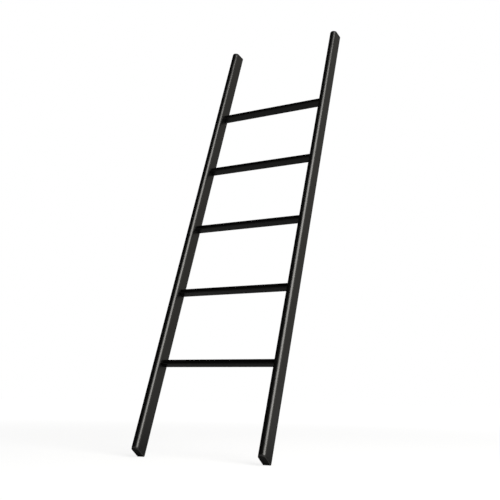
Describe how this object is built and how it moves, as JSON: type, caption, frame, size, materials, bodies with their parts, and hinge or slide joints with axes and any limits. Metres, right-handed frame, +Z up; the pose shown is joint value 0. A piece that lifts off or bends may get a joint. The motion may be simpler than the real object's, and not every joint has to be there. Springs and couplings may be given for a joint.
{
  "type": "bunk bed ladder",
  "caption": "Leaning bunk bed ladder of black steel: two round-nosed tube rails joined by flat oval rungs, with caps and feet.",
  "frame": {"origin": "on the floor, under the middle of the leaning ladder's bounding box", "axes": "+Z up from the floor, +Y back towards the bed that the ladder leans on, +X to the right as the climber sees it"},
  "size_m": [0.445, 0.5992, 1.5336],
  "materials": {
    "powder_coat": "satin black powder coat",
    "cap_plastic": "matt black moulded",
    "foot_rubber": "matt black moulded"
  },
  "bodies": {
    "root": {"left_rail": "powder_coat", "right_rail": "powder_coat", "rung_1": "powder_coat", "rung_2": "powder_coat", "rung_3": "powder_coat", "rung_4": "powder_coat", "rung_5": "powder_coat", "left_weld_1": "powder_coat", "left_weld_2": "powder_coat", "left_weld_3": "powder_coat", "left_weld_4": "powder_coat", "left_weld_5": "powder_coat", "right_weld_1": "powder_coat", "right_weld_2": "powder_coat", "right_weld_3": "powder_coat", "right_weld_4": "powder_coat", "right_weld_5": "powder_coat", "left_top_cap": "cap_plastic", "right_top_cap": "cap_plastic", "left_foot": "foot_rubber", "right_foot": "foot_rubber"}
  },
  "joints": []
}
